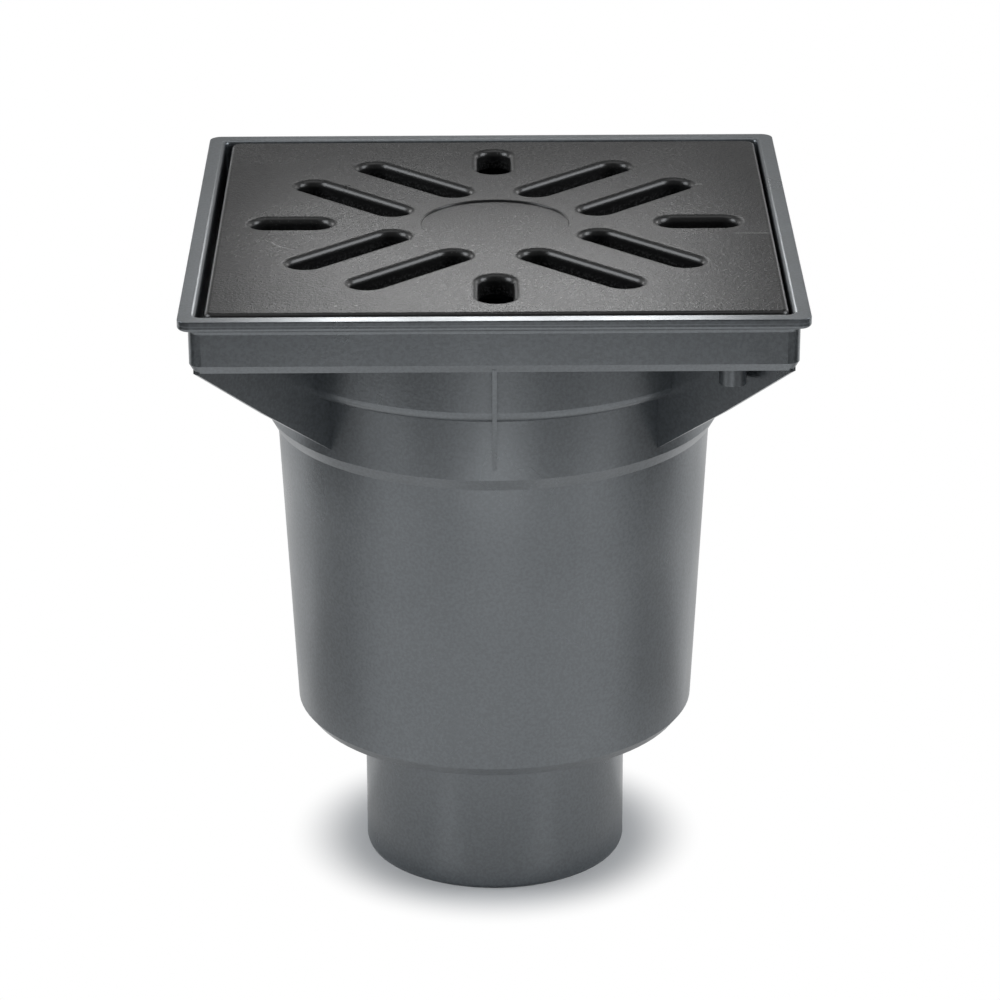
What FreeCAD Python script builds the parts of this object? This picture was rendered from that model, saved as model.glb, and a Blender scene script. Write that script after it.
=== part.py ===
"""Yard gully with a water trap.

A moulded plastic body carries a square frame at the top and a plain pipe end below.
A cast-iron grate lies in the frame. Under it hang a sludge bucket and a lift-out bell trap.
Sizes are in millimetres. +Z is up and the origin is the centre of the outlet's open end.
"""

import FreeCAD
import Part
import math
import os

V = FreeCAD.Vector
UP = V(0, 0, 1)

# How far a cutting solid runs past the face that it opens
cut_past = 1.0

# Body walls
wall = 3.0
ledge_thickness = 3.5

# Outlet spigot, a plain pipe end of nominal size 110
spigot_radius = 55.0
spigot_length = 64.2
spigot_bevel_height = 1.5
spigot_bevel_depth = 0.5

# Sump, which narrows downwards by its mould draft
sump_top_radius = 89.6
sump_height = 130.0
sump_draft_deg = 2.92
sump_foot_height = 4.3
sump_foot_depth = 3.4

# Collar above the sump, its lower edge bevelled
collar_step = 4.4
collar_height = 31.5
collar_bevel_height = 5.2
collar_bevel_depth = 2.9

# Neck under the frame, its lower edge rounded
neck_step = 7.6
neck_height = 27.5
neck_edge_radius = 5.0

# Square frame: a tray with a bevelled foot and a flat, overhanging rim with rounded edges
opening_size = 230.0
opening_corner_radius = 2.5
tray_height = 23.0
skirt_corner_radius = 5.0
skirt_bevel_height = 3.4
skirt_bevel_depth = 2.0
skirt_draft = 0.1
rim_overhang = 4.0
rim_thickness = 4.3
rim_corner_radius = 5.0
rim_under_radius = 1.4
rim_top_radius = 0.4
rim_inner_radius = 1.8
rim_root_radius = 2.3

# Corner gussets and the thinner ribs between them
gusset_thickness = 3.0
gusset_foot_height = 8.7
gusset_end_inset = 1.7
gusset_end_drop = 0.7
gusset_belly = 0.8
rib_thickness = 1.8
rib_foot_height = 9.5
rib_end_inset = 1.0
rib_end_rise = 1.0

# Round pegs under the tray, one beside each gusset
peg_radius = 5.35
peg_length = 8.8
peg_from_front = 13.0
peg_from_side = 25.2

# Cast-iron grate
grate_gap = 2.0
grate_corner_radius = 4.0
grate_shift = 0.9
grate_plate = 8.0
grate_edge_radius = 2.2
edge_rib_width = 8.0
slot_width = 13.6
slot_edge_radius = 3.0
axis_slot_length = 32.3
axis_slot_land = 13.5
diagonal_slot_length = 61.0
diagonal_slot_land = 4.8
diagonal_slot_offset = 17.8
recess_radius = 30.3
recess_depth = 0.8
recess_draft = 0.3
recess_edge_radius = 0.5
web_width = 8.0
web_depth = 6.0
hub_radius = 22.0

# Clearances
insert_clearance = 2.0
flange_clearance = 1.2
bell_fin_clearance = 0.5

# Rubber ring under the trap cup
seal_thickness = 3.0
seal_margin = 0.4

# Trap cup with its standpipe
insert_wall = 2.5
flange_thickness = 3.0
cup_depth = 118.0
standpipe_radius = 38.5
water_seal = 60.0
cup_floor_gap = 11.5

# Bell over the standpipe
bell_waterway = 11.5
bell_headroom = 15.0
bell_edge_radius = 6.0
bell_fin_thickness = 2.5
bell_fin_reach = 20.0
bell_fins = 4
grip_length = 34.0
grip_height = 5.0
grip_thickness = 4.0

# Sludge bucket
bucket_waterway = 7.0
bucket_draft_deg = 4.0
bucket_clearance = 2.0
bucket_slots = 16
bucket_slot_width = 8.0
bucket_slot_height = 16.0
bucket_slot_top = 4.0
handle_width = 12.0
handle_thickness = 3.0
handle_rise = 16.0

# Heights, stacked from the pipe end up
sump_z = spigot_length
collar_z = sump_z + sump_height
neck_z = collar_z + collar_height
tray_z = neck_z + neck_height
top_z = tray_z + tray_height
shelf_z = tray_z + wall
lower_ledge_z = collar_z + ledge_thickness
upper_ledge_z = neck_z + ledge_thickness

# Radii and half sizes that follow from the values above
sump_slope = math.tan(math.radians(sump_draft_deg))
collar_radius = sump_top_radius + collar_step
neck_radius = collar_radius + neck_step
neck_bore = neck_radius - wall
collar_bore = collar_radius - wall
spigot_bore = spigot_radius - wall
skirt_half = opening_size / 2 + wall
rim_half = skirt_half + rim_overhang
foot_half = skirt_half - skirt_bevel_depth
grate_half = opening_size / 2 - grate_gap


def sump_outside(z):
    """Outer radius of the sump's tapered wall at height z."""
    return sump_top_radius - (collar_z - z) * sump_slope


def sump_inside(z):
    """Inner radius of the sump's tapered wall at height z."""
    return sump_outside(z) - wall


def polygon_face(points):
    """A flat face in the XZ plane from (x, z) pairs."""
    corners = [V(x, 0, z) for x, z in points]
    return Part.Face(Part.makePolygon(corners + corners[:1]))


def turned(points):
    """A solid turned about the Z axis from (radius, z) pairs."""
    return polygon_face(points).revolve(V(0, 0, 0), UP, 360)


def plate_xz(points, thickness):
    """A plate of that thickness, centred on the XZ plane."""
    face = polygon_face(points)
    face.translate(V(0, -thickness / 2, 0))
    return face.extrude(V(0, thickness, 0))


def around(shape, count, start=0.0):
    """Copies of a shape, evenly turned about the Z axis."""
    copies = []
    for index in range(count):
        copy = shape.copy()
        copy.rotate(V(0, 0, 0), UP, start + index * 360.0 / count)
        copies.append(copy)
    return copies


def square_outline(half, corner_radius, z):
    """A square wire with rounded corners, centred on the Z axis."""
    straight = half - corner_radius
    edges = []
    for quarter in range(4):
        turn = FreeCAD.Rotation(UP, 90.0 * quarter)
        arc_start = turn.multVec(V(half, straight, 0))
        arc_middle = turn.multVec(
            V(straight + corner_radius * math.sqrt(0.5), straight + corner_radius * math.sqrt(0.5), 0)
        )
        arc_end = turn.multVec(V(straight, half, 0))
        side_start = turn.multVec(V(half, -straight, 0))
        lift = V(0, 0, z)
        edges.append(Part.makeLine(side_start + lift, arc_start + lift))
        edges.append(Part.Arc(arc_start + lift, arc_middle + lift, arc_end + lift).toShape())
    return Part.Wire(edges)


def square_block(half, corner_radius, low, high):
    """A square block with rounded upright corners."""
    base = Part.Face(square_outline(half, corner_radius, low))
    return base.extrude(V(0, 0, high - low))


def flat_edges(shape, z, inside=None, outside=None):
    """Edges that lie in the plane z, by how far their middle is from the Z axis in X or Y."""
    found = []
    for edge in shape.Edges:
        box = edge.BoundBox
        if abs(box.ZMin - z) > 1e-4 or abs(box.ZMax - z) > 1e-4:
            continue
        reach = max(abs(box.XMin), abs(box.XMax), abs(box.YMin), abs(box.YMax))
        if inside is not None and reach > inside:
            continue
        if outside is not None and reach < outside:
            continue
        found.append(edge)
    return found


def turned_walls():
    """The round part of the body, still filled: spigot, sump, collar and neck."""
    foot_z = sump_z + sump_foot_height
    foot_radius = sump_outside(foot_z) - sump_foot_depth
    bevel_z = collar_z + collar_bevel_height
    bevel_radius = collar_radius - collar_bevel_depth
    solid = turned([
        (0, 0),
        (spigot_radius - spigot_bevel_depth, 0),
        (spigot_radius, spigot_bevel_height),
        (spigot_radius, sump_z),
        (foot_radius, sump_z),
        (sump_outside(foot_z), foot_z),
        (sump_top_radius, collar_z),
        (bevel_radius, collar_z),
        (collar_radius, bevel_z),
        (collar_radius, neck_z),
        (neck_radius, neck_z),
        (neck_radius, shelf_z),
        (0, shelf_z),
    ])
    return solid.makeFillet(neck_edge_radius, flat_edges(solid, neck_z, outside=neck_radius - 0.1))


def tray_and_rim():
    """The square part of the body, still filled: bevelled foot, drafted skirt and rim."""
    foot_corner = skirt_corner_radius - skirt_bevel_depth
    head_corner = skirt_corner_radius + skirt_draft
    under_rim_z = top_z - rim_thickness
    skirt = Part.makeLoft(
        [
            square_outline(foot_half, foot_corner, tray_z),
            square_outline(skirt_half, skirt_corner_radius, tray_z + skirt_bevel_height),
            square_outline(skirt_half + skirt_draft, head_corner, under_rim_z),
        ],
        True,
        True,
    )
    rim = square_block(rim_half, rim_corner_radius, under_rim_z, top_z)
    rim = rim.makeFillet(rim_under_radius, flat_edges(rim, under_rim_z))
    rim = rim.makeFillet(rim_top_radius, flat_edges(rim, top_z))
    tray = skirt.fuse(rim)
    return tray.makeFillet(rim_root_radius, flat_edges(tray, under_rim_z, inside=skirt_half + skirt_draft))


def gussets():
    """Four upright plates from the tray's corners down to the collar."""
    corner_reach = (skirt_half - skirt_corner_radius) * math.sqrt(2) + skirt_corner_radius
    end = corner_reach - gusset_end_inset
    end_z = tray_z - gusset_end_drop
    foot_z = collar_z + gusset_foot_height
    plate = plate_xz(
        [
            (collar_bore, tray_z + skirt_bevel_height),
            (end, tray_z + skirt_bevel_height),
            (end, end_z),
            ((end + collar_radius) / 2, (end_z + foot_z) / 2 - gusset_belly),
            (collar_radius, foot_z),
            (collar_bore, foot_z),
        ],
        gusset_thickness,
    )
    return around(plate, 4, start=45.0)


def ribs():
    """Four thinner upright plates from the middles of the tray's sides down to the collar."""
    end = skirt_half - rib_end_inset
    plate = plate_xz(
        [
            (collar_bore, tray_z + skirt_bevel_height),
            (end, tray_z + skirt_bevel_height),
            (end, tray_z + rib_end_rise),
            (collar_radius, collar_z + rib_foot_height),
            (collar_bore, collar_z + rib_foot_height),
        ],
        rib_thickness,
    )
    return around(plate, 4)


def pegs():
    """Four short round pegs under the tray, each turned a quarter from the last."""
    low = tray_z - peg_length
    place = V(skirt_half - peg_from_side, -(skirt_half - peg_from_front), low)
    return around(Part.makeCylinder(peg_radius, shelf_z - low, place, UP), 4)


def gully_body():
    """The one-piece body: everything outside is joined first, then the hollow is cut."""
    outside = turned_walls().multiFuse([tray_and_rim()] + gussets() + ribs() + pegs())
    floor_z = sump_z + wall
    hollow = turned([
        (0, -cut_past),
        (spigot_bore, -cut_past),
        (spigot_bore, floor_z),
        (sump_inside(floor_z), floor_z),
        (sump_inside(lower_ledge_z), lower_ledge_z),
        (collar_bore, lower_ledge_z),
        (collar_bore, upper_ledge_z),
        (neck_bore, upper_ledge_z),
        (neck_bore, top_z),
        (0, top_z),
    ])
    pocket = square_block(opening_size / 2, opening_corner_radius, shelf_z, top_z + cut_past)
    body = outside.cut([hollow, pocket]).removeSplitter()
    return body.makeFillet(rim_inner_radius, flat_edges(body, top_z, inside=opening_size / 2))


def slot_bar(length, width, low, high):
    """An upright bar with round ends that cuts one slot, lying along X."""
    radius = width / 2
    reach = length / 2 - radius
    edges = [
        Part.makeLine(V(-reach, -radius, low), V(reach, -radius, low)),
        Part.Arc(V(reach, -radius, low), V(reach + radius, 0, low), V(reach, radius, low)).toShape(),
        Part.makeLine(V(reach, radius, low), V(-reach, radius, low)),
        Part.Arc(V(-reach, radius, low), V(-reach - radius, 0, low), V(-reach, -radius, low)).toShape(),
    ]
    return Part.Face(Part.Wire(edges)).extrude(V(0, 0, high - low))


def grate_slots(low, high):
    """Four slots on the axes and a parallel pair on each diagonal."""
    axis_slot = slot_bar(axis_slot_length, slot_width, low, high)
    axis_slot.translate(V(grate_half - axis_slot_land - axis_slot_length / 2, 0, 0))
    slots = around(axis_slot, 4)
    diagonal_slot_middle = recess_radius + diagonal_slot_land + diagonal_slot_length / 2
    for side in (-1, 1):
        slot = slot_bar(diagonal_slot_length, slot_width, low, high)
        slot.translate(V(diagonal_slot_middle, side * diagonal_slot_offset, 0))
        slots += around(slot, 4, start=45.0)
    return slots


def grate():
    """The cast grate: a slotted plate on an edge rib, with webs on the diagonals below."""
    high = top_z
    under = high - grate_plate
    block = square_block(grate_half, grate_corner_radius, shelf_z, high)
    block = block.makeFillet(grate_edge_radius, flat_edges(block, high))
    pocket = square_block(grate_half - edge_rib_width, grate_corner_radius, shelf_z - cut_past, under)
    web_reach = grate_half * math.sqrt(2)
    web = Part.makeBox(2 * web_reach, web_width, web_depth, V(-web_reach, -web_width / 2, under - web_depth))
    hub = Part.makeCylinder(hub_radius, web_depth, V(0, 0, under - web_depth), UP)
    pocket = pocket.cut(around(web, 2, start=45.0) + [hub])
    casting = block.cut([pocket] + grate_slots(shelf_z - cut_past, high + cut_past))
    slot_edges = flat_edges(casting, high, inside=grate_half - axis_slot_land / 2)
    casting = casting.makeFillet(slot_edge_radius, slot_edges)
    recess = Part.makeCone(
        recess_radius - recess_draft, recess_radius, recess_depth, V(0, 0, high - recess_depth), UP
    )
    casting = casting.cut(recess).removeSplitter()
    recess_edges = flat_edges(casting, high, inside=recess_radius + recess_draft)
    casting = casting.makeFillet(recess_edge_radius, recess_edges)
    casting.translate(V(grate_shift, 0, 0))
    return casting


# The trap's levels, from the seal on the lower ledge down
cup_flange_z = lower_ledge_z + seal_thickness
cup_under_z = cup_flange_z - cup_depth
cup_floor_z = cup_under_z + insert_wall
bell_rim_z = cup_floor_z + cup_floor_gap
standpipe_z = bell_rim_z + water_seal
bell_roof_z = standpipe_z + bell_headroom
bell_top_z = bell_roof_z + insert_wall
bell_bore = standpipe_radius + bell_waterway


def cup_outside(z):
    """Outer radius of the cup's tapered wall, which keeps clear of the sump."""
    return sump_inside(z) - insert_clearance


def trap_seal():
    """A flat rubber ring on the body's lower ledge."""
    inner = sump_inside(lower_ledge_z) + seal_margin
    outer = collar_bore - seal_margin
    return turned([
        (inner, lower_ledge_z),
        (outer, lower_ledge_z),
        (outer, cup_flange_z),
        (inner, cup_flange_z),
    ])


def trap_cup():
    """The cup that holds the trap water, with the overflow standpipe in its middle."""
    flange_top = cup_flange_z + flange_thickness
    flange_radius = collar_bore - flange_clearance
    pipe_bore = standpipe_radius - insert_wall
    return turned([
        (pipe_bore, cup_under_z),
        (cup_outside(cup_under_z), cup_under_z),
        (cup_outside(cup_flange_z), cup_flange_z),
        (flange_radius, cup_flange_z),
        (flange_radius, flange_top),
        (cup_outside(cup_flange_z) - insert_wall, flange_top),
        (cup_outside(cup_floor_z) - insert_wall, cup_floor_z),
        (standpipe_radius, cup_floor_z),
        (standpipe_radius, standpipe_z),
        (pipe_bore, standpipe_z),
    ])


def trap_bell():
    """The bell that dips into the cup's water. Its fins sit on the standpipe and centre it."""
    outer = bell_bore + insert_wall
    shell = turned([
        (0, bell_roof_z),
        (bell_bore, bell_roof_z),
        (bell_bore, bell_rim_z),
        (outer, bell_rim_z),
        (outer, bell_top_z),
        (0, bell_top_z),
    ])
    shell = shell.makeFillet(bell_edge_radius, flat_edges(shell, bell_top_z))
    fin_inner = standpipe_radius - 2 * insert_wall
    fin_guide = standpipe_radius + bell_fin_clearance
    fin = plate_xz(
        [
            (fin_inner, bell_roof_z + insert_wall / 2),
            (bell_bore + insert_wall / 2, bell_roof_z + insert_wall / 2),
            (bell_bore + insert_wall / 2, standpipe_z - bell_fin_reach),
            (fin_guide, standpipe_z - bell_fin_reach),
            (fin_guide, standpipe_z),
            (fin_inner, standpipe_z),
        ],
        bell_fin_thickness,
    )
    grip = Part.makeBox(
        grip_length, grip_thickness, grip_height, V(-grip_length / 2, -grip_thickness / 2, bell_top_z)
    )
    return shell.multiFuse(around(fin, bell_fins, start=45.0) + [grip]).removeSplitter()


def sludge_bucket():
    """The bucket that hangs on the upper ledge, slotted near its top, with a bowed handle."""
    flange_z = upper_ledge_z
    flange_top = flange_z + flange_thickness
    flange_radius = neck_bore - flange_clearance
    slope = math.tan(math.radians(bucket_draft_deg))
    cup_mouth = cup_outside(cup_flange_z) - insert_wall
    gap_z = cup_flange_z + flange_thickness
    top_radius = cup_mouth - bucket_waterway + (flange_z - gap_z) * slope
    under_z = bell_top_z + grip_height + bucket_clearance
    floor_z = under_z + insert_wall

    def outside(z):
        return top_radius - (flange_z - z) * slope

    shell = turned([
        (0, under_z),
        (outside(under_z), under_z),
        (outside(flange_z), flange_z),
        (flange_radius, flange_z),
        (flange_radius, flange_top),
        (outside(flange_top) - insert_wall, flange_top),
        (outside(floor_z) - insert_wall, floor_z),
        (0, floor_z),
    ])
    slot_bottom = flange_z - bucket_slot_top - bucket_slot_height
    slot = Part.makeBox(
        neck_bore, bucket_slot_width, bucket_slot_height, V(0, -bucket_slot_width / 2, slot_bottom)
    )
    core = Part.makeCylinder(outside(slot_bottom) - 4 * insert_wall, top_z)
    slots = [bar.cut(core) for bar in around(slot, bucket_slots)]
    shell = shell.cut(slots)
    return shell.fuse(bucket_handle(outside(flange_top), flange_top)).removeSplitter()


def bucket_handle(reach, foot_z):
    """A strap that bows up across the bucket between two points on its flange."""
    low_z = foot_z - flange_thickness

    def bow(offset):
        return Part.Arc(
            V(-reach, 0, low_z + offset),
            V(0, 0, low_z + offset + handle_rise),
            V(reach, 0, low_z + offset),
        ).toShape()

    ends = [
        Part.makeLine(V(reach, 0, low_z), V(reach, 0, low_z + handle_thickness)),
        Part.makeLine(V(-reach, 0, low_z + handle_thickness), V(-reach, 0, low_z)),
    ]
    outline = Part.Wire(Part.__sortEdges__([bow(0), ends[0], bow(handle_thickness), ends[1]]))
    strap = Part.Face(outline)
    strap.translate(V(0, -handle_width / 2, 0))
    return strap.extrude(V(0, handle_width, 0))


PARTS = {
    "gully_body": gully_body,
    "grate": grate,
    "sludge_bucket": sludge_bucket,
    "trap_bell": trap_bell,
    "trap_cup": trap_cup,
    "trap_seal": trap_seal,
}

os.makedirs("parts", exist_ok=True)
for name, build in PARTS.items():
    shape = build()
    shape.exportStep(os.path.join("parts", name + ".step"))
    box = shape.BoundBox
    print(
        f"{name}: {len(shape.Solids)} solid, valid {shape.isValid()}, volume {shape.Volume / 1000:.1f} cm3, "
        f"x {box.XMin:.1f} to {box.XMax:.1f}, z {box.ZMin:.1f} to {box.ZMax:.1f}"
    )
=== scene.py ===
import math

import bpy
from mathutils import Matrix, Vector


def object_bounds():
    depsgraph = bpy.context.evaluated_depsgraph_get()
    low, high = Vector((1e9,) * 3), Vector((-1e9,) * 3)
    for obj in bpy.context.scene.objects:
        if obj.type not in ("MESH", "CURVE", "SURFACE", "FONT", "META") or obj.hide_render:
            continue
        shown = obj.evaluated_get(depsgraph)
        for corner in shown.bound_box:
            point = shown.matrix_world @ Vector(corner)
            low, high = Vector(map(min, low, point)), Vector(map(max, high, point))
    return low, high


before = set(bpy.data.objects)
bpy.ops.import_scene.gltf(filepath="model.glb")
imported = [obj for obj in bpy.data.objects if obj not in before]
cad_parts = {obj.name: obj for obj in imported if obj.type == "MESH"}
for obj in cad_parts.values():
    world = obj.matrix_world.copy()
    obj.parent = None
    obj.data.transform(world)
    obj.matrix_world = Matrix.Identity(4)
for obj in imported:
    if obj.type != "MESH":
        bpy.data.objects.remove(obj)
cad_low, cad_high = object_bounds()


# Gully body. One injection moulding in dark grey polypropylene: frame, tray, necks, sump and
# pipe end in one. The mould leaves a fine satin grain, faint upright flow streaks and, round the
# rim, the thin line where its halves met, drawn lighter as a painted highlight.
mould_line_height = 0.2743
mould_line_half_width = 0.0003
mould_line_highlight_strength = 0.5
mould_line_highlight_tone = (0.16, 0.17, 0.18)
plastic_ior = 1.75
cool_sheen = (0.89, 0.95, 1.0, 1.0)


def new_material(name):
    """A node material with an empty tree, its Principled shader and its output joined."""
    material = bpy.data.materials.new(name)
    material.use_nodes = True
    tree = material.node_tree
    tree.nodes.clear()
    shader = tree.nodes.new("ShaderNodeBsdfPrincipled")
    output = tree.nodes.new("ShaderNodeOutputMaterial")
    tree.links.new(shader.outputs["BSDF"], output.inputs["Surface"])
    return material, tree, shader


def add_node(tree, kind, inputs=None, **settings):
    """A node of that kind, with its settings and unlinked input values."""
    node = tree.nodes.new(kind)
    for key, value in settings.items():
        setattr(node, key, value)
    for key, value in (inputs or {}).items():
        node.inputs[key].default_value = value
    return node


def new_group(name, inputs, outputs):
    """A shader node group of plain number sockets, its inputs given with their values."""
    group = bpy.data.node_groups.new(name, "ShaderNodeTree")
    for label, value in inputs.items():
        socket = group.interface.new_socket(label, in_out="INPUT", socket_type="NodeSocketFloat")
        socket.default_value = value
    for label in outputs:
        group.interface.new_socket(label, in_out="OUTPUT", socket_type="NodeSocketFloat")
    return group, group.nodes.new("NodeGroupInput"), group.nodes.new("NodeGroupOutput")


def use_group(tree, group, values):
    """The group placed in a material, with its own values."""
    return add_node(tree, "ShaderNodeGroup", values, node_tree=group)


def join(tree, value, socket):
    """A number set on a socket, or an output linked to it."""
    if isinstance(value, (int, float)):
        socket.default_value = value
    else:
        tree.links.new(value, socket)


def object_place(tree):
    """Coordinates in metres that stay with the object."""
    return tree.nodes.new("ShaderNodeTexCoord").outputs["Object"]


def parts_of(tree, vector):
    """The X, Y and Z of a vector."""
    node = tree.nodes.new("ShaderNodeSeparateXYZ")
    tree.links.new(vector, node.inputs["Vector"])
    return node.outputs["X"], node.outputs["Y"], node.outputs["Z"]


def scaled(tree, place, factors):
    """Coordinates stretched by three factors."""
    node = add_node(tree, "ShaderNodeVectorMath", operation="MULTIPLY")
    tree.links.new(place, node.inputs[0])
    node.inputs[1].default_value = factors
    return node.outputs["Vector"]


def noise(tree, place, scale, detail, roughness):
    """A noise on those coordinates, its size given as features per metre."""
    node = add_node(tree, "ShaderNodeTexNoise", {"Detail": detail, "Roughness": roughness})
    tree.links.new(place, node.inputs["Vector"])
    join(tree, scale, node.inputs["Scale"])
    return node.outputs["Fac"]


def spread(tree, value, low, high, out_low, out_high):
    """A value mapped smoothly from one range to another and kept inside it."""
    node = add_node(
        tree,
        "ShaderNodeMapRange",
        {"From Min": low, "From Max": high, "To Min": out_low, "To Max": out_high},
        interpolation_type="SMOOTHSTEP",
    )
    tree.links.new(value, node.inputs["Value"])
    return node.outputs["Result"]


def maths(tree, operation, *values):
    """Values or sockets taken together, one after another, by one operation."""
    result = values[0]
    for value in values[1:]:
        node = add_node(tree, "ShaderNodeMath", operation=operation)
        join(tree, result, node.inputs[0])
        join(tree, value, node.inputs[1])
        result = node.outputs["Value"]
    return result


def distance_from(tree, value, middle):
    """How far a value is from its middle, to either side."""
    node = add_node(tree, "ShaderNodeMath", operation="ABSOLUTE")
    join(tree, maths(tree, "SUBTRACT", value, middle), node.inputs[0])
    return node.outputs["Value"]


def swing(tree, value, amount):
    """A noise that runs about its middle, from minus to plus that amount."""
    return maths(tree, "MULTIPLY", maths(tree, "SUBTRACT", value, 0.5), 2.0 * amount)


def between(tree, amount, first, second):
    """A colour between two others. Each is a colour or a socket."""
    mix = add_node(tree, "ShaderNodeMix", data_type="RGBA")
    join(tree, amount, mix.inputs["Factor"])
    for label, colour in (("A", first), ("B", second)):
        if isinstance(colour, tuple):
            mix.inputs[label].default_value = (*colour, 1.0)
        else:
            tree.links.new(colour, mix.inputs[label])
    return mix.outputs["Result"]


def bump(tree, shader, height, depth):
    """A bump of that depth in metres, joined to the shader's normal."""
    node = add_node(tree, "ShaderNodeBump", {"Distance": depth, "Strength": 1.0})
    tree.links.new(height, node.inputs["Height"])
    tree.links.new(node.outputs["Normal"], shader.inputs["Normal"])


def make_moulded_grain():
    """Fine mould grain, broad mottling and upright flow streaks: a height, a tone and a gloss."""
    group, entry, result = new_group(
        "moulded_grain",
        {"Grain per metre": 800.0, "Mottle per metre": 26.0, "Streak strength": 0.25},
        ["Height", "Tone", "Gloss"],
    )
    streaks_per_metre = 90.0
    drawn_upright = (1.0, 1.0, 0.06)
    fine_tone = 2.1
    broad_tone = 0.3
    place = object_place(group)
    fine = noise(group, place, entry.outputs["Grain per metre"], detail=2.0, roughness=0.6)
    broad = noise(group, place, entry.outputs["Mottle per metre"], detail=1.0, roughness=0.4)
    streaks = noise(group, scaled(group, place, drawn_upright), streaks_per_metre, detail=1.0, roughness=0.5)
    upright = maths(group, "MULTIPLY", swing(group, streaks, 1.0), entry.outputs["Streak strength"])
    mottling = maths(group, "ADD", swing(group, broad, broad_tone), upright)
    tone = maths(group, "ADD", swing(group, fine, fine_tone), mottling)
    group.links.new(fine, result.inputs["Height"])
    group.links.new(maths(group, "ADD", tone, 0.5), result.inputs["Tone"])
    group.links.new(maths(group, "ADD", broad, upright), result.inputs["Gloss"])
    return group


moulded_grain = make_moulded_grain()


def moulded_plastic(name, dark, light, matt, fineness, mottle, streaks, grain_depth=0.00003, gloss=1.0):
    """Satin moulded plastic between two shades, its roughness given as low and high."""
    material, tree, shader = new_material(name)
    grain = use_group(tree, moulded_grain, {
        "Grain per metre": fineness,
        "Mottle per metre": mottle,
        "Streak strength": streaks,
    })
    tree.links.new(between(tree, grain.outputs["Tone"], dark, light), shader.inputs["Base Color"])
    tree.links.new(spread(tree, grain.outputs["Gloss"], 0.2, 0.8, *matt), shader.inputs["Roughness"])
    bump(tree, shader, grain.outputs["Height"], grain_depth)
    shader.inputs["IOR"].default_value = plastic_ior
    shader.inputs["Specular IOR Level"].default_value = gloss
    shader.inputs["Specular Tint"].default_value = cool_sheen
    return material


def with_mould_line_highlight(material):
    """Paints a highlight: lightens the plastic along the level line where the mould's halves met."""
    tree = material.node_tree
    base = tree.nodes["Principled BSDF"].inputs["Base Color"]
    colour = base.links[0].from_socket
    height = parts_of(tree, object_place(tree))[2]
    off_line = distance_from(tree, height, mould_line_height)
    line = spread(tree, off_line, 0.4 * mould_line_half_width, mould_line_half_width, 1.0, 0.0)
    # Painted highlight: the parting line drawn lighter than the plastic.
    strength = maths(tree, "MULTIPLY", line, mould_line_highlight_strength)
    tree.links.new(between(tree, strength, colour, mould_line_highlight_tone), base)
    return material


def dress(node, material):
    """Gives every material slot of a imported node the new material."""
    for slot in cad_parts[node].material_slots:
        slot.material = material


body_plastic = moulded_plastic(
    "body_plastic",
    dark=(0.006, 0.008, 0.009),
    light=(0.036, 0.041, 0.045),
    matt=(0.27, 0.36),
    fineness=800.0,
    mottle=26.0,
    streaks=0.25,
)
dress("gully_body", with_mould_line_highlight(body_plastic))


# Grate. Grey iron cast in sand and dipped in black paint: a leathery, slightly pitted skin with
# pale specks painted as glints where grains stand up, and painted shade and glints down the
# slots. It has a nick at one slot and a few fine scratches from handling. Its edges are polished
# by wear.
face_z = cad_high.z
slot_depth_top = face_z - 0.0028
slot_depth_bottom = face_z - 0.0060
paint_dark = (0.006, 0.006, 0.006)
paint_light = (0.016, 0.016, 0.016)
slot_shade_black = (0.004, 0.004, 0.004)
slot_glint_tone = (0.060, 0.060, 0.060)
glint_tone = (0.26, 0.26, 0.25)
scratch_tone = (0.30, 0.30, 0.29)
scuff_tone = (0.20, 0.20, 0.20)
dull_tone = (0.003, 0.003, 0.003)
skin_depth = 0.00017

# Each mark runs between two points on the face, given from its middle, with half its width.
handling_marks = [
    ((0.0835, 0.0502), (0.0880, 0.0500), 0.0005),
    ((0.0985, -0.0158), (0.1120, -0.0161), 0.0004),
    ((-0.0905, -0.0235), (-0.0860, -0.0300), 0.0003),
    ((-0.0860, -0.0300), (-0.0800, -0.0345), 0.0003),
    ((-0.0615, -0.1035), (-0.0612, -0.1035), 0.0007),
    ((-0.0535, -0.1030), (-0.0533, -0.1030), 0.0007),
]
nick_foot = (-0.0616, 0.0478, face_z - 0.0010)
nick_top = (-0.0604, 0.0500, face_z)
nick_half_width = 0.0012

# Beside the right slot the paint is duller in front of a straight line and scuffed behind it.
patch_line_front = -0.0162
patch_line_back = -0.0160


def make_cast_skin():
    """Sand-cast skin: a height of grains, a tone, and a mask of pale specks, painted glints on raised
    grains, in loose patches.
    """
    group, entry, result = new_group(
        "cast_skin",
        {"Grains per metre": 900.0, "Patches per metre": 16.0},
        ["Height", "Tone", "Glints"],
    )
    glints_per_metre = 1700.0
    place = object_place(group)
    grains = noise(group, place, entry.outputs["Grains per metre"], detail=3.0, roughness=0.62)
    patches = noise(group, place, entry.outputs["Patches per metre"], detail=2.0, roughness=0.5)
    tone = maths(group, "ADD", swing(group, grains, 0.9), swing(group, patches, 0.5))
    fine = noise(group, place, glints_per_metre, detail=1.0, roughness=0.5)
    raised = spread(group, fine, 0.66, 0.74, 0.0, 1.0)
    patchy = spread(group, patches, 0.45, 0.65, 0.12, 1.0)
    group.links.new(grains, result.inputs["Height"])
    group.links.new(maths(group, "ADD", tone, 0.5), result.inputs["Tone"])
    group.links.new(maths(group, "MULTIPLY", raised, patchy), result.inputs["Glints"])
    return group


cast_skin = make_cast_skin()


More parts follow.
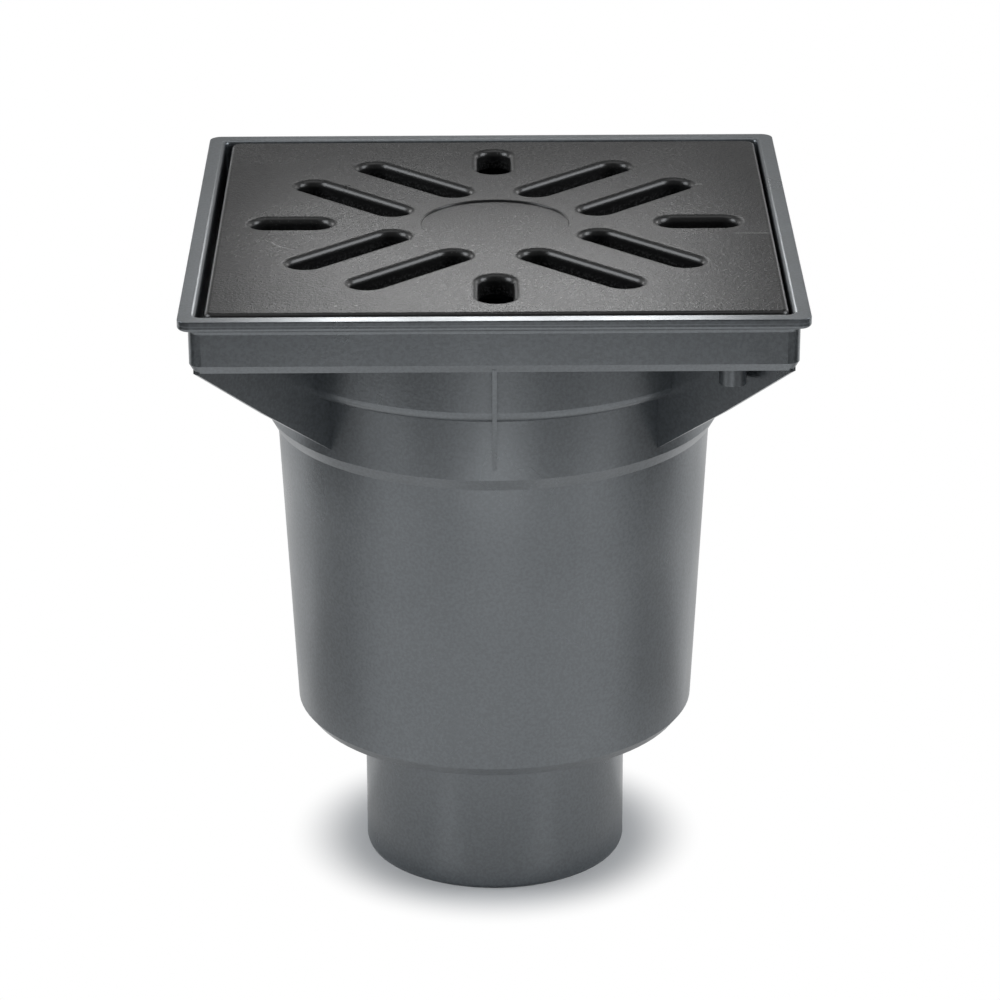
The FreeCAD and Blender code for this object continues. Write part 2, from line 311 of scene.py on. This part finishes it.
def stroke(tree, start, end, half_width):
    """A mask of a short straight mark between two points in metres."""
    run = Vector(end) - Vector(start)
    offset = add_node(tree, "ShaderNodeVectorMath", operation="SUBTRACT")
    tree.links.new(object_place(tree), offset.inputs[0])
    offset.inputs[1].default_value = start
    along = add_node(tree, "ShaderNodeVectorMath", operation="DOT_PRODUCT")
    tree.links.new(offset.outputs["Vector"], along.inputs[0])
    along.inputs[1].default_value = run / run.length_squared
    share = maths(tree, "MINIMUM", maths(tree, "MAXIMUM", along.outputs["Value"], 0.0), 1.0)
    foot = add_node(tree, "ShaderNodeVectorMath", operation="SCALE")
    foot.inputs[0].default_value = run
    tree.links.new(share, foot.inputs["Scale"])
    gap = add_node(tree, "ShaderNodeVectorMath", operation="DISTANCE")
    tree.links.new(offset.outputs["Vector"], gap.inputs[0])
    tree.links.new(foot.outputs["Vector"], gap.inputs[1])
    return spread(tree, gap.outputs["Value"], 0.5 * half_width, half_width, 1.0, 0.0)


def painted_skin(tree, skin, place, in_slot):
    """The black paint with its painted glints on the face, and painted shade and painted glints down the
    slots.
    """
    paint = between(tree, skin.outputs["Tone"], paint_dark, paint_light)
    # Painted glints: pale specks where raised grains catch the light.
    glints = maths(tree, "MULTIPLY", skin.outputs["Glints"], 0.35)
    with_glints = between(tree, glints, paint, glint_tone)
    # Painted shade: the paint goes near black with depth down the slots, where shade falls.
    shaded_down_slot = between(tree, maths(tree, "MULTIPLY", in_slot, 0.75), with_glints, slot_shade_black)
    # Painted glints: pale specks on the dark slot walls.
    slot_glints = spread(tree, noise(tree, place, 1100.0, detail=2.0, roughness=0.6), 0.50, 0.62, 0.0, 0.7)
    return between(tree, maths(tree, "MULTIPLY", slot_glints, in_slot), shaded_down_slot, slot_glint_tone)


def handled(tree, paint, x, y):
    """The paint dulled and scuffed beside the right slot, and scratched at each mark."""
    right_end = spread(tree, x, 0.088, 0.106, 0.0, 1.0)
    in_front = maths(
        tree,
        "MULTIPLY",
        spread(tree, y, patch_line_front, patch_line_back, 1.0, 0.0),
        spread(tree, y, -0.060, -0.030, 0.0, 1.0),
    )
    behind = maths(
        tree,
        "MULTIPLY",
        spread(tree, y, patch_line_front, patch_line_back, 0.0, 1.0),
        spread(tree, y, -0.010, 0.004, 1.0, 0.0),
    )
    dulled = between(tree, maths(tree, "MULTIPLY", in_front, right_end, 0.5), paint, dull_tone)
    scuffed = between(tree, maths(tree, "MULTIPLY", behind, right_end, 0.05), dulled, scuff_tone)
    scratches = maths(tree, "MAXIMUM", *[
        stroke(tree, (*start, face_z), (*end, face_z), half_width)
        for start, end, half_width in handling_marks
    ])
    return between(tree, maths(tree, "MULTIPLY", scratches, 0.6), scuffed, scratch_tone)


def cast_iron():
    """Black-dipped cast iron, with its painted glints, painted shade down the slots, nick, scratches and
    polished edges.
    """
    material, tree, shader = new_material("grate_iron")
    skin = use_group(tree, cast_skin, {"Grains per metre": 900.0, "Patches per metre": 16.0})
    place = object_place(tree)
    x, y, z = parts_of(tree, place)
    # How deep a point lies down the slots. It carries the painted shade and glints there, and more
    # roughness.
    in_slot = spread(tree, z, slot_depth_bottom, slot_depth_top, 1.0, 0.0)
    surface = handled(tree, painted_skin(tree, skin, place, in_slot), x, y)
    nick = stroke(tree, nick_foot, nick_top, nick_half_width)
    tree.links.new(between(tree, nick, surface, dull_tone), shader.inputs["Base Color"])
    worn = spread(tree, skin.outputs["Tone"], 0.0, 1.0, 0.34, 0.26)
    roughness = maths(tree, "ADD", worn, maths(tree, "MULTIPLY", in_slot, 0.35))
    tree.links.new(roughness, shader.inputs["Roughness"])
    height = maths(tree, "SUBTRACT", skin.outputs["Height"], maths(tree, "MULTIPLY", nick, 2.0))
    bump(tree, shader, height, skin_depth)
    upward = parts_of(tree, tree.nodes.new("ShaderNodeNewGeometry").outputs["Normal"])[2]
    edges = spread(tree, upward, 0.70, 0.96, 1.0, 0.0)
    polish = maths(tree, "MULTIPLY", edges, maths(tree, "SUBTRACT", 1.0, in_slot))
    tree.links.new(polish, shader.inputs["Coat Weight"])
    shader.inputs["Coat Roughness"].default_value = 0.28
    shader.inputs["Specular IOR Level"].default_value = 0.10
    return material


dress("grate", cast_iron())


# Sludge bucket. A lift-out bucket in the same plastic, hung by its flange on the body's upper
# ledge. It is seen only through the grate's slots.
bucket_plastic = moulded_plastic(
    "bucket_plastic",
    dark=(0.010, 0.011, 0.013),
    light=(0.026, 0.029, 0.033),
    matt=(0.40, 0.50),
    fineness=800.0,
    mottle=20.0,
    streaks=0.20,
    gloss=0.4,
)
dress("sludge_bucket", bucket_plastic)


# Trap bell and trap cup. Two loose mouldings that hold the water seal, smooth because they come
# from polished moulds. The cup hangs by its flange, and the bell sits on the cup's standpipe.
for trap_node in ("trap_bell", "trap_cup"):
    trap_plastic = moulded_plastic(
        trap_node + "_plastic",
        dark=(0.030, 0.034, 0.040),
        light=(0.056, 0.061, 0.069),
        matt=(0.24, 0.32),
        fineness=1200.0,
        mottle=18.0,
        streaks=0.10,
        grain_depth=0.00001,
        gloss=0.4,
    )
    dress(trap_node, trap_plastic)


# Trap seal. A flat ring cut from black rubber sheet. It lies loose on the body's lower ledge, and
# the cup's flange rests on it.
seal_rubber = moulded_plastic(
    "seal_rubber",
    dark=(0.008, 0.008, 0.008),
    light=(0.020, 0.020, 0.020),
    matt=(0.55, 0.68),
    fineness=1500.0,
    mottle=30.0,
    streaks=0.0,
    gloss=0.3,
)
dress("trap_seal", seal_rubber)


# Floor. A white sheet on the table that the gully stands on. Close by it takes the gully's
# shadow, and further out it is plain white to the camera. In gloss it glows as painted
# reflections: a round sheet that ends in front, one strip ahead and two strips from the foot,
# with painted shadow at the foot and painted shade on both sides.
floor_half = 6.0
floor_tone = (0.86, 0.86, 0.86, 1.0)
white = (1.0, 1.0, 1.0, 1.0)


def background_rays(tree):
    """A mask of the rays that see the background as it is: straight, in gloss or through glass."""
    rays = tree.nodes.new("ShaderNodeLightPath").outputs
    return maths(tree, "MAXIMUM", rays["Is Camera Ray"], rays["Is Glossy Ray"], rays["Is Transmission Ray"])


def distance_out(tree, place):
    """The distance from the middle of the sheet."""
    node = add_node(tree, "ShaderNodeVectorMath", operation="LENGTH")
    tree.links.new(place, node.inputs[0])
    return node.outputs["Value"]


def glowing_sheets(tree, place, reach, aside, y):
    """Where the floor glows white in gloss, as painted reflections: a round sheet, its front, a strip ahead,
    and behind.
    """
    sheet = distance_out(tree, scaled(tree, place, (1.3, 1.0, 1.0)))
    near = spread(tree, sheet, 0.55, 0.61, 1.0, 0.08)
    round_front = maths(
        tree,
        "MULTIPLY",
        spread(tree, reach, 0.67, 0.73, 1.0, 0.0),
        spread(tree, y, -0.32, -0.20, 1.0, 0.0),
    )
    strip_length = maths(
        tree,
        "MULTIPLY",
        spread(tree, y, -0.5, -0.3, 1.0, 0.0),
        spread(tree, y, -1.3, -1.0, 0.0, 1.0),
    )
    ahead = maths(tree, "MULTIPLY", spread(tree, aside, 0.03, 0.13, 1.0, 0.0), strip_length)
    behind = spread(tree, y, 0.05, 0.25, 0.0, 1.0)
    return maths(tree, "MAXIMUM", near, round_front, ahead, behind)


def foot_shadow_painted(tree, reach, aside, y):
    """Painted shadow: the glow dimmer close round the pipe end, except behind it and in two strips of
    painted reflection that run from it.
    """
    foot = spread(tree, reach, 0.06, 0.22, 0.60, 1.0)
    off_strip = distance_from(tree, maths(tree, "ADD", aside, y), -0.034)
    strips = maths(
        tree,
        "MULTIPLY",
        spread(tree, off_strip, 0.0, 0.03, 0.40, 0.0),
        spread(tree, reach, 0.06, 0.17, 0.35, 1.0),
    )
    behind = spread(tree, y, 0.0, 0.05, 0.0, 1.0)
    return maths(tree, "MAXIMUM", maths(tree, "MINIMUM", maths(tree, "ADD", foot, strips), 1.0), behind)


def side_shade_painted(tree, aside, y):
    """Painted shade: the glow dimmer in a patch on each side of the gully."""
    across = maths(
        tree,
        "MULTIPLY",
        spread(tree, aside, 0.14, 0.22, 0.0, 0.5),
        spread(tree, aside, 0.30, 0.42, 1.0, 0.0),
    )
    along = spread(tree, distance_from(tree, y, 0.0), 0.05, 0.14, 1.0, 0.0)
    return maths(tree, "SUBTRACT", 1.0, maths(tree, "MULTIPLY", across, along))


def make_floor():
    """A large pale sheet under the part, which turns to plain white away from it and glows in gloss with
    painted reflections.
    """
    mesh = bpy.data.meshes.new("floor")
    corners = [
        (-floor_half, -floor_half, 0),
        (floor_half, -floor_half, 0),
        (floor_half, floor_half, 0),
        (-floor_half, floor_half, 0),
    ]
    mesh.from_pydata(corners, [], [(0, 1, 2, 3)])
    floor = bpy.data.objects.new("floor", mesh)
    bpy.context.scene.collection.objects.link(floor)
    material, tree, shader = new_material("floor_white")
    shader.inputs["Base Color"].default_value = floor_tone
    shader.inputs["Roughness"].default_value = 0.9
    shader.inputs["Specular IOR Level"].default_value = 0.0
    place = object_place(tree)
    reach = distance_out(tree, place)
    x, y = parts_of(tree, place)[:2]
    aside = distance_from(tree, x, 0.0)
    to_camera = tree.nodes.new("ShaderNodeLightPath").outputs["Is Camera Ray"]
    not_to_camera = maths(tree, "SUBTRACT", 1.0, to_camera)
    around = maths(tree, "MULTIPLY", spread(tree, reach, 0.055, 0.09, 0.0, 1.0), to_camera)
    beside = maths(tree, "MULTIPLY", spread(tree, reach, 0.055, 0.08, 0.0, 1.0), not_to_camera)
    plain = maths(tree, "MULTIPLY", maths(tree, "MAXIMUM", around, beside), background_rays(tree))
    # Painted reflections and painted shadow: the floor glows in gloss, in sheets and strips, dimmed at the
    # foot and at the sides.
    gloss_glow = maths(
        tree,
        "MULTIPLY",
        glowing_sheets(tree, place, reach, aside, y),
        foot_shadow_painted(tree, reach, aside, y),
        side_shade_painted(tree, aside, y),
        not_to_camera,
    )
    glow = add_node(tree, "ShaderNodeEmission", {"Color": white})
    tree.links.new(maths(tree, "MAXIMUM", gloss_glow, to_camera), glow.inputs["Strength"])
    from_above = tree.nodes.new("ShaderNodeMixShader")
    tree.links.new(plain, from_above.inputs["Fac"])
    tree.links.new(shader.outputs["BSDF"], from_above.inputs[1])
    tree.links.new(glow.outputs["Emission"], from_above.inputs[2])
    clear = tree.nodes.new("ShaderNodeBsdfTransparent")
    underside = tree.nodes.new("ShaderNodeNewGeometry").outputs["Backfacing"]
    either_side = tree.nodes.new("ShaderNodeMixShader")
    tree.links.new(underside, either_side.inputs["Fac"])
    tree.links.new(from_above.outputs["Shader"], either_side.inputs[1])
    tree.links.new(clear.outputs["BSDF"], either_side.inputs[2])
    tree.links.new(either_side.outputs["Shader"], tree.nodes["Material Output"].inputs["Surface"])
    mesh.materials.append(material)


make_floor()


# Light. A room that is white low down behind the gully and dim above, soft lamps at both sides,
# above and behind, a small one for the gleam on the front of the rim and the grate, and three low
# weak ones in front for the neck and the collar.
room_tint = (0.93, 0.96, 1.0, 1.0)
room_strength = 0.30
side_tint = (0.94, 0.97, 1.0)
middle = (cad_low + cad_high) / 2
rim_middle = Vector((0.0, 0.0, cad_high.z))
rim_front = (0.0, -0.118, cad_high.z)
collar_middle = (0.0, 0.0, 0.18)
low_lamp_reach = 0.49
low_lamp_height = 0.048


def make_world():
    """White to the camera, white low down and dimmer above in gloss, and dim as a light."""
    world = bpy.data.worlds.new("studio")
    bpy.context.scene.world = world
    world.use_nodes = True
    tree = world.node_tree
    tree.nodes.clear()
    y, z = parts_of(tree, tree.nodes.new("ShaderNodeTexCoord").outputs["Generated"])[1:]
    dimmest = 0.10
    wall = maths(tree, "SUBTRACT", spread(tree, z, 0.0, 0.09, 1.0, 0.50), dimmest)
    behind = spread(tree, y, 0.2, 0.7, 0.0, 1.0)
    room = maths(tree, "ADD", maths(tree, "MULTIPLY", wall, behind), dimmest)
    to_camera = tree.nodes.new("ShaderNodeLightPath").outputs["Is Camera Ray"]
    light = add_node(tree, "ShaderNodeBackground", {"Color": room_tint, "Strength": room_strength})
    seen = add_node(tree, "ShaderNodeBackground", {"Color": white})
    tree.links.new(maths(tree, "MAXIMUM", room, to_camera), seen.inputs["Strength"])
    mix = tree.nodes.new("ShaderNodeMixShader")
    output = tree.nodes.new("ShaderNodeOutputWorld")
    tree.links.new(background_rays(tree), mix.inputs["Fac"])
    tree.links.new(light.outputs["Background"], mix.inputs[1])
    tree.links.new(seen.outputs["Background"], mix.inputs[2])
    tree.links.new(mix.outputs["Shader"], output.inputs["Surface"])


make_world()


def add_lamp(name, place, target, width, height, power, tint=(1.0, 1.0, 1.0), cone=180.0):
    """A rectangular lamp that faces its target."""
    lamp = bpy.data.lights.new(name, "AREA")
    lamp.shape = "RECTANGLE"
    lamp.size = width
    lamp.size_y = height
    lamp.energy = power
    lamp.color = tint
    lamp.spread = math.radians(cone)
    holder = bpy.data.objects.new(name, lamp)
    bpy.context.scene.collection.objects.link(holder)
    holder.location = place
    holder.rotation_euler = (Vector(target) - Vector(place)).to_track_quat("-Z", "Y").to_euler()


for side, sign in (("left", -1), ("right", 1)):
    add_lamp(
        f"{side}_lamp",
        place=(sign * 1.1, 0.0, 0.95),
        target=middle,
        width=0.7,
        height=0.7,
        power=7.0,
        tint=side_tint,
    )

add_lamp("top_lamp", place=(0.0, 0.2, 1.5), target=middle, width=1.2, height=1.0, power=4.0)

for side, sign in (("left", -1), ("right", 1)):
    add_lamp(
        f"back_{side}_lamp",
        place=(sign * 0.65, 0.95, 0.40),
        target=rim_middle,
        width=0.35,
        height=0.26,
        power=0.45,
    )

add_lamp(
    "gleam_lamp",
    place=(0.0, 0.30, 0.45),
    target=rim_front,
    width=0.21,
    height=0.09,
    power=0.025,
    cone=42.0,
)

for degrees, power in ((-56, 0.03), (0, 0.06), (56, 0.03)):
    turn = math.radians(degrees)
    add_lamp(
        f"low_lamp_{degrees}",
        place=(low_lamp_reach * math.sin(turn), -low_lamp_reach * math.cos(turn), low_lamp_height),
        target=collar_middle,
        width=0.30,
        height=0.09,
        power=power,
    )


# Camera. The photograph's own view: a long lens a little above the gully, turned and rolled a
# fraction of a degree, solved from the frame's corners.
camera_distance = 1.824
camera_azimuth = math.radians(-0.33)
camera_elevation = math.radians(21.7)
camera_roll = math.radians(-0.2)
camera_target = Vector((0.0026, 0.0, 0.1539))
camera_lens = 156.6

away = Vector((
    math.sin(camera_azimuth) * math.cos(camera_elevation),
    -math.cos(camera_azimuth) * math.cos(camera_elevation),
    math.sin(camera_elevation),
))
level_right = Vector((math.cos(camera_azimuth), math.sin(camera_azimuth), 0.0))
level_up = away.cross(level_right)
camera_right = math.cos(camera_roll) * level_right + math.sin(camera_roll) * level_up
camera_up = away.cross(camera_right)
camera = bpy.data.objects.new("camera", bpy.data.cameras.new("camera"))
camera.data.lens = camera_lens
camera.data.clip_start = 0.05
camera.data.clip_end = 50.0
camera.data.dof.use_dof = False
bpy.context.scene.collection.objects.link(camera)
axes = Matrix((camera_right, camera_up, away)).transposed()
camera.matrix_world = Matrix.Translation(camera_target + away * camera_distance) @ axes.to_4x4()
bpy.context.scene.camera = camera
bpy.context.scene.view_settings.view_transform = "Standard"
